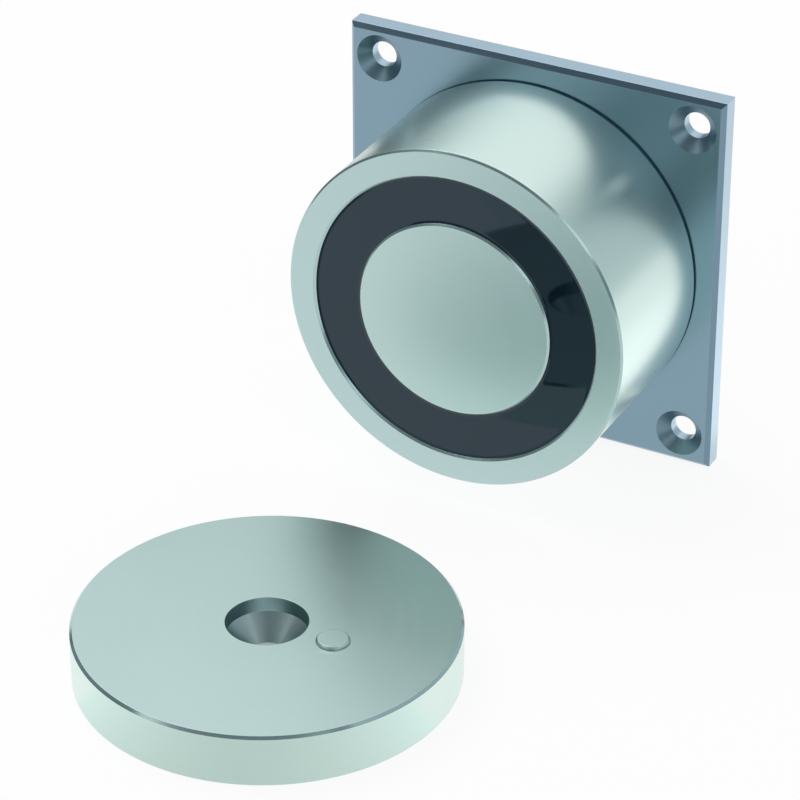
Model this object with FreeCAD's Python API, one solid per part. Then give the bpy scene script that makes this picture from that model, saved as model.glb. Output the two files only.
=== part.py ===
import FreeCAD, Part
import math
import os
from FreeCAD import Vector

# Electromagnetic door holder: a round pot magnet on a square wall plate, and the round armature
# plate that goes on the door, lying flat in front of it. Millimetres.
# Row frame: origin at the centre of the wall plate's back face, +X along the plate, +Y into the
# wall, +Z up. The magnet's pieces are drawn standing on the wall: height is the distance from the
# wall, and the local y axis becomes Z. The armature's pieces stand on their own underside.

# wall plate
plate_side = 80.0
plate_thickness = 4.5
plate_chamfer = 0.9
corner_hole_inset = 6.5
corner_hole_diameter = 5.3
corner_sink_diameter = 9.8

# steel pot: the rear chamber holds the wiring, the front chamber holds the coil
pot_diameter = 71.0
pot_length = 33.5
pot_wall = 5.7
rear_wall = 4.5
chamber_depth = 7.5
yoke_thickness = 6.0
boss_diameter = 18.0
pole_chamfer = 0.4
foot_step = 0.4

# centre pole: coil_space is the width of the resin ring between the poles
coil_space = 9.5
spigot_diameter = 14.0
spigot_length = 4.0
spigot_clearance = 0.05

# coil
bobbin_clearance = 0.3
bobbin_wall = 1.0
bobbin_flange = 1.0
insulator_thickness = 0.5
winding_margin = 1.2
tape_thickness = 0.3
resin_thickness = 2.2
resin_recess = 0.4
resin_clearance = 0.02

# central fixing screw, countersunk in the back of the plate
screw_diameter = 8.0
screw_head_diameter = 15.6
screw_head_recess = 0.2
screw_head_clearance = 0.05
screw_engagement = 8.0
screw_clearance = 0.4
thread_clearance = 0.05
screw_tip_space = 2.0
screw_tip_bevel = 1.0
socket_width = 5.0
socket_depth = 2.6

# dowel that keeps the pot from turning on the plate
dowel_diameter = 2.5
dowel_in_plate = 3.0
dowel_in_pot = 5.0
dowel_clearance = 0.02
dowel_end_space = 0.3

# terminal strip in the rear chamber
terminal_angle = -90.0
terminal_length = 16.0
pole_pitch = 8.0
terminal_gap = 1.1
clamp_diameter = 4.2
clamp_bore = 2.4
clamp_setback = 1.5
clamp_clearance = 0.05
clamp_screw_diameter = 2.4
clamp_screw_head = 3.2
clamp_screw_head_height = 0.95
clamp_screw_inset = 2.6
screw_slot = 0.6
strip_screw_diameter = 2.0
strip_screw_head = 3.4
strip_screw_head_height = 1.4
strip_screw_recess = 0.2
strip_screw_depth = 3.0
small_clearance = 0.1

# coil leads and their sleeve through the yoke
lead_diameter = 1.2
lead_gap = 0.3
lead_exit_angle = 206.0
lead_run_in = 4.5
lead_turn_radius = 3.5
lead_end_setback = 0.4
sleeve_wall = 0.7
sleeve_lip = 0.5
sleeve_clearance = 0.05

# diode across the terminals
diode_diameter = 2.7
diode_length = 5.0
diode_lead_diameter = 0.7
diode_neck = 0.3
diode_standoff = 5.0

# cable grommet in the back of the plate
grommet_angle = 0.0
cable_diameter = 6.0
grommet_wall = 1.7
grommet_flange = 1.7
grommet_flange_thickness = 1.2
grommet_lip = 1.0
grommet_recess = 0.2
grommet_clearance = 0.05

# armature plate
armature_diameter = 71.5
armature_thickness = 10.3
armature_chamfer = 0.5
armature_back_chamfer = 0.15
armature_gap = 30.95
armature_shift = -3.4
bolt_hole_diameter = 7.0
counterbore_diameter = 15.3
counterbore_depth = 3.0

# sprung release pin in the armature
pin_diameter = 6.2
pin_height = 0.6
pin_chamfer = 0.3
pin_clearance = 0.05
pin_web = 1.35
pin_shoulder_depth = 3.0
pin_flange = 1.2
pin_flange_thickness = 1.2
pocket_clearance = 0.3
stem_diameter = 3.6
stem_length = 2.4
plug_thickness = 2.0
plug_recess = 0.2
plug_clearance = 0.02
plug_slot_width = 1.0
plug_slot_depth = 0.8
spring_wire = 0.6
spring_pitch = 1.0
spring_clearance = 0.7

# worked out from the sizes above
pole_face = plate_thickness + pot_length
yoke_rear = plate_thickness + chamber_depth
yoke_front = yoke_rear + yoke_thickness
pot_radius = pot_diameter / 2
coil_chamber_radius = pot_radius - pot_wall
wiring_chamber_radius = pot_radius - rear_wall
boss_radius = boss_diameter / 2
pole_radius = coil_chamber_radius - coil_space
wiring_radius = (boss_radius + wiring_chamber_radius) / 2

bobbin_rear = yoke_front + insulator_thickness
bobbin_front = pole_face - resin_recess - resin_thickness
bobbin_bore_radius = pole_radius + bobbin_clearance
bobbin_tube_radius = bobbin_bore_radius + bobbin_wall
bobbin_rim_radius = coil_chamber_radius - bobbin_clearance
winding_rear = bobbin_rear + bobbin_flange
winding_front = bobbin_front - bobbin_flange
winding_radius = bobbin_rim_radius - winding_margin

screw_head_height = (screw_head_diameter - screw_diameter) / 2
screw_tip = yoke_front + screw_engagement

terminal_rear = plate_thickness + terminal_gap
terminal_height = yoke_rear - terminal_rear
clamp_height = (terminal_rear + yoke_rear) / 2
clamp_radius = clamp_diameter / 2

lead_radius = lead_diameter / 2
lead_offset = lead_radius + lead_gap / 2
sleeve_bore_radius = lead_offset + lead_radius + lead_gap / 2
sleeve_radius = sleeve_bore_radius + sleeve_wall
lead_exit_radius = (bobbin_tube_radius + winding_radius) / 2

cable_radius = cable_diameter / 2
grommet_neck_radius = cable_radius + grommet_wall
grommet_flange_radius = grommet_neck_radius + grommet_flange

armature_radius = armature_diameter / 2
pin_radius = pin_diameter / 2
pin_flange_radius = pin_radius + pin_flange
pocket_radius = pin_flange_radius + pocket_clearance
pin_offset = counterbore_diameter / 2 + pin_web + pocket_radius
pocket_top = armature_thickness - pin_shoulder_depth
flange_bottom = pocket_top - pin_flange_thickness
plug_top = plug_recess + plug_thickness

along_x = Vector(1, 0, 0)
upright = Vector(0, 0, 1)
on_wall = FreeCAD.Placement(Vector(0, 0, 0), FreeCAD.Rotation(along_x, 90))
armature_centre = Vector(armature_shift, -(pole_face + armature_gap + armature_radius), -plate_side / 2)
on_floor = FreeCAD.Placement(armature_centre, FreeCAD.Rotation())


def save(name, shape, placement):
    shape.Placement = placement.multiply(shape.Placement)
    shape.exportStep(os.path.join("parts", name + ".step"))
    print(name, "solids", len(shape.Solids), "valid", shape.isValid(), "volume", round(shape.Volume, 2))


def at_angle(radius, angle, height=0.0):
    turn = math.radians(angle)
    return Vector(radius * math.cos(turn), radius * math.sin(turn), height)


def rod(radius, bottom, top, centre=Vector(0, 0, 0)):
    return Part.makeCylinder(radius, top - bottom, Vector(centre.x, centre.y, bottom))


def rod_along_x(radius, length, middle):
    return Part.makeCylinder(radius, length, middle - Vector(length / 2, 0, 0), along_x)


def ring(outer, inner, bottom, top):
    return rod(outer, bottom, top).cut(rod(inner, bottom, top))


def turned(profile, centre=Vector(0, 0, 0)):
    # profile: (radius, height) corners of the half section
    corners = [Vector(radius, 0, height) for radius, height in profile]
    section = Part.Face(Part.makePolygon(corners + corners[:1]))
    solid = section.revolve(Vector(0, 0, 0), upright, 360)
    solid.translate(Vector(centre.x, centre.y, 0))
    return solid


def box(size_x, size_y, bottom, top, centre=Vector(0, 0, 0)):
    corner = Vector(centre.x - size_x / 2, centre.y - size_y / 2, bottom)
    return Part.makeBox(size_x, size_y, top - bottom, corner)


def rounded_path(points, radii):
    # straight runs joined by tangent arcs, one radius for each inner point
    edges = []
    run_start = points[0]
    for before, corner, after, radius in zip(points, points[1:], points[2:], radii):
        way_in = (corner - before).normalize()
        way_out = (after - corner).normalize()
        half_turn = way_in.getAngle(way_out) / 2
        inward = (way_out - way_in).normalize()
        arc_start = corner - way_in * radius * math.tan(half_turn)
        arc_end = corner + way_out * radius * math.tan(half_turn)
        arc_middle = corner + inward * radius * (1 / math.cos(half_turn) - 1)
        edges.append(Part.LineSegment(run_start, arc_start).toShape())
        edges.append(Part.Arc(arc_start, arc_middle, arc_end).toShape())
        run_start = arc_end
    edges.append(Part.LineSegment(run_start, points[-1]).toShape())
    return Part.Wire(edges)


def tube(points, radii, radius):
    path = rounded_path(points, radii)
    section = Part.Wire(Part.makeCircle(radius, points[0], points[1] - points[0]))
    return path.makePipeShell([section], True, True)


def screw_countersink():
    rim = screw_head_diameter / 2 + screw_head_clearance
    neck = screw_diameter / 2 + screw_head_clearance
    head_end = screw_head_recess + screw_head_height
    return turned([(0, 0), (rim, 0), (rim, screw_head_recess), (neck, head_end), (0, head_end)])


def screw_clear_hole():
    return rod(screw_diameter / 2 + screw_clearance, 0, yoke_front - spigot_length)


def screw_tapped_hole():
    return rod(screw_diameter / 2 + thread_clearance, 0, screw_tip + screw_tip_space)


def dowel_place():
    rim = (wiring_chamber_radius + pot_radius - foot_step) / 2
    return at_angle(rim, 90)


def dowel_space():
    radius = dowel_diameter / 2 + dowel_clearance
    bottom = plate_thickness - dowel_in_plate - dowel_end_space
    top = plate_thickness + dowel_in_pot + dowel_end_space
    return rod(radius, bottom, top, dowel_place())


def lead_exit():
    return at_angle(lead_exit_radius, lead_exit_angle)


def sleeve_space():
    return rod(sleeve_radius + sleeve_clearance, yoke_rear, winding_rear, lead_exit())


def terminal_centre():
    return at_angle(wiring_radius, terminal_angle)


def grommet_centre():
    return at_angle(wiring_radius, grommet_angle)


def mounting_plate():
    plate = box(plate_side, plate_side, 0, plate_thickness)
    front_edges = [edge for edge in plate.Edges
                   if all(abs(vertex.Z - plate_thickness) < 1e-6 for vertex in edge.Vertexes)]
    plate = plate.makeChamfer(plate_chamfer, front_edges)
    hole_radius = corner_hole_diameter / 2
    sink_radius = corner_sink_diameter / 2
    sink_bottom = plate_thickness - (sink_radius - hole_radius)
    reach = plate_side / 2 - corner_hole_inset
    for side_x in (-1, 1):
        for side_y in (-1, 1):
            centre = Vector(side_x * reach, side_y * reach, 0)
            profile = [(0, 0), (hole_radius, 0), (hole_radius, sink_bottom),
                       (sink_radius, plate_thickness), (0, plate_thickness)]
            plate = plate.cut(turned(profile, centre))
    plate = plate.cut(screw_countersink()).cut(screw_clear_hole()).cut(dowel_space())
    neck = rod(grommet_neck_radius + grommet_clearance, 0, plate_thickness, grommet_centre())
    seat_depth = grommet_recess + grommet_flange_thickness
    seat = rod(grommet_flange_radius + grommet_clearance, 0, seat_depth, grommet_centre())
    return plate.cut(neck).cut(seat)


def magnet_pot():
    pot = turned([(0, plate_thickness), (pot_radius - foot_step, plate_thickness),
                  (pot_radius - foot_step, plate_thickness + foot_step),
                  (pot_radius, plate_thickness + foot_step), (pot_radius, pole_face - pole_chamfer),
                  (pot_radius - pole_chamfer, pole_face), (coil_chamber_radius + pole_chamfer, pole_face),
                  (coil_chamber_radius, pole_face - pole_chamfer), (coil_chamber_radius, yoke_front),
                  (0, yoke_front)])
    chamber = ring(wiring_chamber_radius, boss_radius, plate_thickness, yoke_rear)
    spigot = rod(spigot_diameter / 2 + spigot_clearance, yoke_front - spigot_length, yoke_front)
    pot = pot.cut(chamber).cut(spigot).cut(screw_countersink()).cut(screw_clear_hole())
    pot = pot.cut(dowel_space()).cut(sleeve_space())
    strip_hole = rod(strip_screw_diameter / 2 + thread_clearance, yoke_rear,
                     yoke_rear + strip_screw_depth + dowel_end_space, terminal_centre())
    return pot.cut(strip_hole)


def pole_core():
    spigot_bottom = yoke_front - spigot_length
    core = turned([(0, spigot_bottom), (spigot_diameter / 2, spigot_bottom),
                   (spigot_diameter / 2, yoke_front), (pole_radius, yoke_front),
                   (pole_radius, pole_face - pole_chamfer), (pole_radius - pole_chamfer, pole_face),
                   (0, pole_face)])
    return core.cut(screw_tapped_hole())


def coil_bobbin():
    tube_part = ring(bobbin_tube_radius, bobbin_bore_radius, bobbin_rear, bobbin_front)
    rear = ring(bobbin_rim_radius, bobbin_bore_radius, bobbin_rear, winding_rear)
    front = ring(bobbin_rim_radius, bobbin_bore_radius, winding_front, bobbin_front)
    return tube_part.fuse([rear, front]).removeSplitter().cut(sleeve_space())


def coil_winding():
    return ring(winding_radius, bobbin_tube_radius, winding_rear, winding_front)


def winding_tape():
    return ring(winding_radius + tape_thickness, winding_radius, winding_rear, winding_front)


def base_insulator():
    washer = ring(bobbin_rim_radius, bobbin_bore_radius, yoke_front, bobbin_rear)
    return washer.cut(sleeve_space())


def potting_ring():
    return ring(coil_chamber_radius - resin_clearance, pole_radius + resin_clearance,
                bobbin_front, pole_face - resin_recess)


def fixing_screw():
    head_end = screw_head_recess + screw_head_height
    screw = turned([(0, screw_head_recess), (screw_head_diameter / 2, screw_head_recess),
                    (screw_diameter / 2, head_end), (screw_diameter / 2, screw_tip - screw_tip_bevel),
                    (screw_diameter / 2 - screw_tip_bevel, screw_tip), (0, screw_tip)])
    corner_radius = socket_width / math.sqrt(3)
    corners = [at_angle(corner_radius, 60 * step, screw_head_recess) for step in range(7)]
    socket = Part.Face(Part.makePolygon(corners)).extrude(upright * socket_depth)
    return screw.cut(socket)


def locating_pin():
    return rod(dowel_diameter / 2, plate_thickness - dowel_in_plate,
               plate_thickness + dowel_in_pot, dowel_place())


def pole_rows():
    centre = terminal_centre()
    return [Vector(centre.x, centre.y + side * pole_pitch / 2, clamp_height) for side in (1, -1)]


def clamp_screw_places():
    reach = terminal_length / 2 - clamp_setback - clamp_screw_inset
    return [row + Vector(side * reach, 0, 0) for row in pole_rows() for side in (-1, 1)]


def terminal_housing():
    centre = terminal_centre()
    body = box(terminal_length, 2 * pole_pitch, terminal_rear, yoke_rear, centre)
    for row in pole_rows():
        body = body.cut(rod_along_x(clamp_radius + clamp_clearance, terminal_length, row))
    for place in clamp_screw_places():
        body = body.cut(rod(clamp_screw_head / 2 + small_clearance, terminal_rear, clamp_height, place))
    head_bottom = terminal_rear + strip_screw_recess + strip_screw_head_height
    body = body.cut(rod(strip_screw_head / 2 + small_clearance, terminal_rear, head_bottom, centre))
    return body.cut(rod(strip_screw_diameter / 2 + small_clearance, terminal_rear, yoke_rear, centre))


def terminal_clamps():
    clamps = []
    for row in pole_rows():
        barrel = rod_along_x(clamp_radius, terminal_length - 2 * clamp_setback, row)
        clamps.append(barrel.cut(rod_along_x(clamp_bore / 2, terminal_length, row)))
    tapped_radius = clamp_screw_diameter / 2 + thread_clearance
    for place in clamp_screw_places():
        hole = rod(tapped_radius, terminal_rear, clamp_height, place)
        clamps = [clamp.cut(hole) for clamp in clamps]
    return Part.makeCompound(clamps)


def slotted_screw(place, shank_radius, head_radius, head_bottom, head_top, tip):
    screw = rod(head_radius, head_bottom, head_top, place).fuse(rod(shank_radius, head_top, tip, place))
    slot_depth = (head_top - head_bottom) / 2
    slot = box(2 * head_radius, screw_slot, head_bottom, head_bottom + slot_depth, place)
    return screw.removeSplitter().cut(slot)


def terminal_screws():
    # each head seats on its clamp and each tip presses on a conductor
    seat = clamp_height - clamp_radius
    tip = clamp_height - lead_radius
    return Part.makeCompound([
        slotted_screw(place, clamp_screw_diameter / 2, clamp_screw_head / 2,
                      seat - clamp_screw_head_height, seat, tip)
        for place in clamp_screw_places()])


def terminal_fixing_screw():
    top = terminal_rear + strip_screw_recess
    return slotted_screw(terminal_centre(), strip_screw_diameter / 2, strip_screw_head / 2,
                         top, top + strip_screw_head_height, yoke_rear + strip_screw_depth)


def lead_wire(row, side):
    # out of the winding, through the sleeve, round into the chamber and into its clamp
    way = (terminal_centre() - lead_exit()).normalize()
    across = Vector(-way.y, way.x, 0) * lead_offset
    start = lead_exit() + across * side
    start.z = winding_rear
    foot = Vector(start.x, start.y, clamp_height)
    mouth_x = row.x - terminal_length / 2
    approach = Vector(mouth_x - lead_run_in, row.y, clamp_height)
    end = Vector(row.x - lead_end_setback, row.y, clamp_height)
    drop_radius = yoke_rear - sleeve_lip - clamp_height
    radii = [drop_radius, lead_turn_radius]
    print("lead radii", [round(radius, 2) for radius in radii])
    return tube([start, foot, approach, end], radii, lead_radius)


def lead_sleeve():
    outside = rod(sleeve_radius, yoke_rear - sleeve_lip, winding_rear, lead_exit())
    return outside.cut(rod(sleeve_bore_radius, yoke_rear - sleeve_lip, winding_rear, lead_exit()))


def suppressor_diode():
    upper, lower = pole_rows()
    axis_x = upper.x + terminal_length / 2 + diode_standoff
    middle = Vector(axis_x, (upper.y + lower.y) / 2, clamp_height)
    bend = (pole_pitch - diode_length) / 2 - diode_neck
    body_start = middle - Vector(0, diode_length / 2, 0)
    diode = Part.makeCylinder(diode_diameter / 2, diode_length, body_start, Vector(0, 1, 0))
    for row in (upper, lower):
        inner_end = Vector(row.x + lead_end_setback, row.y, clamp_height)
        corner = Vector(axis_x, row.y, clamp_height)
        diode = diode.fuse(tube([inner_end, corner, middle], [bend], diode_lead_diameter / 2))
    return diode.removeSplitter()


def cable_grommet():
    seat = grommet_recess + grommet_flange_thickness
    lip_end = plate_thickness + grommet_flange_thickness
    lip_radius = grommet_neck_radius + grommet_lip
    return turned([(cable_radius, grommet_recess), (grommet_flange_radius, grommet_recess),
                   (grommet_flange_radius, seat), (grommet_neck_radius, seat),
                   (grommet_neck_radius, plate_thickness), (lip_radius, plate_thickness),
                   (grommet_neck_radius, lip_end), (cable_radius, lip_end)], grommet_centre())


def armature_plate():
    bolt_radius = bolt_hole_diameter / 2
    counterbore_radius = counterbore_diameter / 2
    cone_top = armature_thickness - counterbore_depth
    cone_bottom = cone_top - (counterbore_radius - bolt_radius)
    plate = turned([(bolt_radius, 0), (armature_radius - armature_back_chamfer, 0),
                    (armature_radius, armature_back_chamfer),
                    (armature_radius, armature_thickness - armature_chamfer),
                    (armature_radius - armature_chamfer, armature_thickness),
                    (counterbore_radius, armature_thickness), (counterbore_radius, cone_top),
                    (bolt_radius, cone_bottom)])
    pin_centre = Vector(pin_offset, 0, 0)
    plate = plate.cut(rod(pin_radius + pin_clearance, 0, armature_thickness, pin_centre))
    return plate.cut(rod(pocket_radius, 0, pocket_top, pin_centre))


def release_pin():
    top = armature_thickness + pin_height
    stem_radius = stem_diameter / 2
    stem_bottom = flange_bottom - stem_length
    return turned([(0, stem_bottom), (stem_radius, stem_bottom), (stem_radius, flange_bottom),
                   (pin_flange_radius, flange_bottom), (pin_flange_radius, pocket_top),
                   (pin_radius, pocket_top), (pin_radius, top - pin_chamfer),
                   (pin_radius - pin_chamfer, top), (0, top)], Vector(pin_offset, 0, 0))


def release_spring():
    # a helix from the plug up to the pin's flange, its wire touching both
    coil_radius = pocket_radius - spring_clearance - spring_wire / 2
    bottom = plug_top + spring_wire / 2
    rise = flange_bottom - plug_top - spring_wire
    path = Part.makeHelix(spring_pitch, rise, coil_radius)
    path.translate(Vector(pin_offset, 0, bottom))
    start = Vector(pin_offset + coil_radius, 0, bottom)
    section = Part.Wire(Part.makeCircle(spring_wire / 2, start, Vector(0, 1, 0)))
    return Part.Wire(path).makePipeShell([section], True, True)


def release_plug():
    centre = Vector(pin_offset, 0, 0)
    plug = rod(pocket_radius - plug_clearance, plug_recess, plug_top, centre)
    slot = box(2 * pocket_radius, plug_slot_width, plug_recess, plug_recess + plug_slot_depth, centre)
    return plug.cut(slot)


os.makedirs("parts", exist_ok=True)
save("mounting_plate", mounting_plate(), on_wall)
save("magnet_pot", magnet_pot(), on_wall)
save("pole_core", pole_core(), on_wall)
save("coil_bobbin", coil_bobbin(), on_wall)
save("coil_winding", coil_winding(), on_wall)
save("winding_tape", winding_tape(), on_wall)
save("base_insulator", base_insulator(), on_wall)
save("potting_ring", potting_ring(), on_wall)
save("fixing_screw", fixing_screw(), on_wall)
save("locating_pin", locating_pin(), on_wall)
save("terminal_housing", terminal_housing(), on_wall)
save("terminal_clamps", terminal_clamps(), on_wall)
save("terminal_screws", terminal_screws(), on_wall)
save("terminal_fixing_screw", terminal_fixing_screw(), on_wall)
save("lead_wire_positive", lead_wire(pole_rows()[0], 1), on_wall)
save("lead_wire_negative", lead_wire(pole_rows()[1], -1), on_wall)
save("lead_sleeve", lead_sleeve(), on_wall)
save("suppressor_diode", suppressor_diode(), on_wall)
save("cable_grommet", cable_grommet(), on_wall)
save("armature_plate", armature_plate(), on_floor)
save("release_pin", release_pin(), on_floor)
save("release_spring", release_spring(), on_floor)
save("release_plug", release_plug(), on_floor)
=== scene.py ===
import bpy
import bmesh
import math
from mathutils import Matrix, Vector


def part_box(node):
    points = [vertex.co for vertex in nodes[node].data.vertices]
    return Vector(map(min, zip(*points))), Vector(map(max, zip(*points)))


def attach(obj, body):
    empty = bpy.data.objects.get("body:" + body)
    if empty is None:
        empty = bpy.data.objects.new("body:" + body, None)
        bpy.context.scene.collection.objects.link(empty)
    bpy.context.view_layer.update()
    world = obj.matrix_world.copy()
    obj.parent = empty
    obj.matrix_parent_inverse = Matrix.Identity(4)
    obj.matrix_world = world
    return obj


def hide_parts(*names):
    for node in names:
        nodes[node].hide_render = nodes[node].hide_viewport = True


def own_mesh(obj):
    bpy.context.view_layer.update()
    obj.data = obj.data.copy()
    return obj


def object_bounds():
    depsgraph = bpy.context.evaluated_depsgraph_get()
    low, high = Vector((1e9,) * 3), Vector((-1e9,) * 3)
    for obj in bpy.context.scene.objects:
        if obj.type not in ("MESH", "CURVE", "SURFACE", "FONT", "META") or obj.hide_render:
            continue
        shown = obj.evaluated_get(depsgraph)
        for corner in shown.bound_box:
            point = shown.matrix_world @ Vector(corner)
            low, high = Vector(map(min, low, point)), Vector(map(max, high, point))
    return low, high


# Electromagnetic door holder: the pot magnet on its wall plate, and the armature plate in front of it.
# Metres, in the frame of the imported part: the wall is at +Y, the pole face looks to -Y, +Z is up.

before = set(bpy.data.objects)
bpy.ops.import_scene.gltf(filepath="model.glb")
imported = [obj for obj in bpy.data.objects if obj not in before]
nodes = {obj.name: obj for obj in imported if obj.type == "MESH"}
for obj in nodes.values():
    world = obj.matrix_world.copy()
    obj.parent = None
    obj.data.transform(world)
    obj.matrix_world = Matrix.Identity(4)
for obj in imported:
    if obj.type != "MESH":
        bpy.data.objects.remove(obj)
cadLow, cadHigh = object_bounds()
mm = 0.001
print("frame loaded:", len(nodes), "nodes")


def addObject(name, data):
    item = bpy.data.objects.new(name, data)
    bpy.context.scene.collection.objects.link(item)
    return item


# camera, at the photograph's angle
camera = {"azimuth": 27.737, "elevation": 30.888, "aim": (-0.01542, -0.03014, -0.02594),
          "distance": 0.7261, "lens": 165.8, "sensor": 36.0, "nearest": 0.01, "farthest": 50.0}


def makeCamera(c):
    a = math.radians(c["azimuth"])
    e = math.radians(c["elevation"])
    back = Vector((math.sin(a) * math.cos(e), -math.cos(a) * math.cos(e), math.sin(e)))
    data = bpy.data.cameras.new("photoCamera")
    data.sensor_width = c["sensor"]
    data.lens = c["lens"]
    data.clip_start = c["nearest"]
    data.clip_end = c["farthest"]
    cam = addObject("photoCamera", data)
    cam.location = Vector(c["aim"]) + back * c["distance"]
    cam.rotation_mode = "QUATERNION"
    cam.rotation_quaternion = (-back).to_track_quat("-Z", "Y")
    bpy.context.scene.camera = cam


makeCamera(camera)
print("camera set")


# studio: white world, pale floor and two soft lamps, with cards that only the metal sees: grey ones stand
# round it and above its front, one lies before the armature and fades out at its ends, and a bright one
# lies behind the plate on the right. Azimuths run from the front (-Y) towards the right (+X).
studio = {"floorSize": 6.0, "floorGlow": 0.88, "floorAlbedo": 0.15, "floorBounce": 0.85,
          "worldSeen": 0.95, "worldLight": 0.5}
white = (1.0, 1.0, 1.0)
cool = (0.86, 0.96, 1.0)
cardStep = 15          # degrees that one flat of a card spans
cardFade = 1.6         # how late a card's tone turns towards its ends
cards = {
    "bandFrontLeft": {"azimuths": (-90, 0), "radii": (0.45, 0.45), "heights": (-0.039, 0.15),
                      "seen": 0.28, "colour": cool},
    "bandFrontRight": {"azimuths": (0, 90), "radii": (0.45, 0.45), "heights": (-0.039, 0.16),
                       "seen": 0.32, "colour": cool},
    "bandBackRight": {"azimuths": (90, 180), "radii": (0.45, 0.45), "heights": (-0.039, 0.16),
                      "seen": 0.60, "colour": cool},
    "bandBackLeft": {"azimuths": (180, 270), "radii": (0.45, 0.45), "heights": (-0.039, 0.08),
                     "seen": 0.08, "colour": cool},
    "fadeBackLeft": {"azimuths": (180, 270), "radii": (0.45, 0.45), "heights": (0.08, 0.28),
                     "seen": 0.08, "seenTop": 0.90, "colour": cool},
    "frontLeft": {"azimuths": (-50, 0), "radii": (1.9, 1.9), "heights": (0.25, 1.5),
                  "seen": 0.95, "colour": white},
    "frontRight": {"azimuths": (0, 50), "radii": (1.9, 1.9), "heights": (0.25, 1.5),
                   "seen": 0.50, "colour": cool},
    "frontCeiling": {"azimuths": (-50, 80), "radii": (1.8, 0.45), "heights": (1.5, 1.6),
                     "seen": 0.25, "colour": cool},
    "rightBack": {"azimuths": (80, 160), "radii": (1.9, 1.9), "heights": (0.5, 2.0),
                  "seen": 0.55, "colour": cool},
    "left": {"azimuths": (-120, -50), "radii": (1.9, 1.9), "heights": (0.5, 2.2),
             "seen": 0.22, "colour": cool},
    "floorFront": {"azimuths": (-45, 88), "radii": (0.0358, 0.09), "heights": (-0.0399, -0.0399),
                   "centre": (-0.0034, -0.1047), "seen": 0.66, "seenEnds": 0.97, "step": 5,
                   "colour": (0.93, 1.0, 1.0)},
    "floorBackRight": {"azimuths": (95, 175), "radii": (0.045, 0.2), "heights": (-0.0399, -0.0399),
                       "seen": 1.25, "seenTop": 0.85, "colour": white},
}
lamps = {
    "keyLamp": {"place": (-0.9, 0.1, 1.4), "size": 1.4, "power": 8.0},
    "fillLamp": {"place": (1.3, -0.9, 0.9), "size": 1.2, "power": 2.0},
}


def emptyMaterial(name):
    mat = bpy.data.materials.new(name)
    mat.use_nodes = True
    mat.node_tree.nodes.clear()
    return mat, mat.node_tree


def addNode(tree, kind, given=None, **settings):
    # a node with its settings; each input that is given gets a value, or a link from a socket
    node = tree.nodes.new(kind)
    for setting, value in settings.items():
        setattr(node, setting, value)
    for label, value in (given or {}).items():
        if isinstance(value, bpy.types.NodeSocket):
            tree.links.new(value, node.inputs[label])
        else:
            node.inputs[label].default_value = value
    return node


def mathNode(tree, operation, *values):
    return addNode(tree, "ShaderNodeMath", dict(enumerate(values)), operation=operation).outputs[0]


def mixShaders(tree, factor, first, second):
    return addNode(tree, "ShaderNodeMixShader", {0: factor, 1: first.outputs[0], 2: second.outputs[0]})


def greyTone(value):
    return (value, value, value, 1)


def seenRays(tree):
    # 1 for camera, glossy and transmission rays, so that metal shows the same background
    path = addNode(tree, "ShaderNodeLightPath").outputs
    direct = mathNode(tree, "MAXIMUM", path["Is Camera Ray"], path["Is Glossy Ray"])
    return mathNode(tree, "MAXIMUM", direct, path["Is Transmission Ray"])


def makeWorld(s):
    world = bpy.data.worlds.new("studioWorld")
    bpy.context.scene.world = world
    world.use_nodes = True
    tree = world.node_tree
    tree.nodes.clear()
    light = addNode(tree, "ShaderNodeBackground", {"Color": (*white, 1), "Strength": s["worldLight"]})
    seen = addNode(tree, "ShaderNodeBackground", {"Color": (*white, 1), "Strength": s["worldSeen"]})
    mix = mixShaders(tree, seenRays(tree), light, seen)
    addNode(tree, "ShaderNodeOutputWorld", {"Surface": mix.outputs[0]})


def floorMaterial(s):
    mat, tree = emptyMaterial("paleFloor")
    bounce = addNode(tree, "ShaderNodeBsdfDiffuse", {"Color": greyTone(s["floorBounce"])})
    shown = addNode(tree, "ShaderNodeBsdfDiffuse", {"Color": greyTone(s["floorAlbedo"])})
    glow = addNode(tree, "ShaderNodeEmission", {"Strength": s["floorGlow"]})
    both = addNode(tree, "ShaderNodeAddShader", {0: shown.outputs[0], 1: glow.outputs[0]})
    mix = mixShaders(tree, seenRays(tree), bounce, both)
    addNode(tree, "ShaderNodeOutputMaterial", {"Surface": mix.outputs[0]})
    return mat


def cardMaterial(name, colour):
    mat, tree = emptyMaterial(name)
    seen = addNode(tree, "ShaderNodeAttribute", attribute_name="seen")
    glow = addNode(tree, "ShaderNodeEmission", {"Color": (*colour, 1), "Strength": seen.outputs["Fac"]})
    addNode(tree, "ShaderNodeOutputMaterial", {"Surface": glow.outputs[0]})
    return mat


def stageCard(name, corners, mat):
    # a strip of flat quads between pairs of corners
    mesh = bpy.data.meshes.new(name)
    mesh.from_pydata(corners, [], [(i, i + 1, i + 3, i + 2) for i in range(0, len(corners) - 2, 2)])
    mesh.materials.append(mat)
    card = addObject(name, mesh)
    return card


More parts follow.
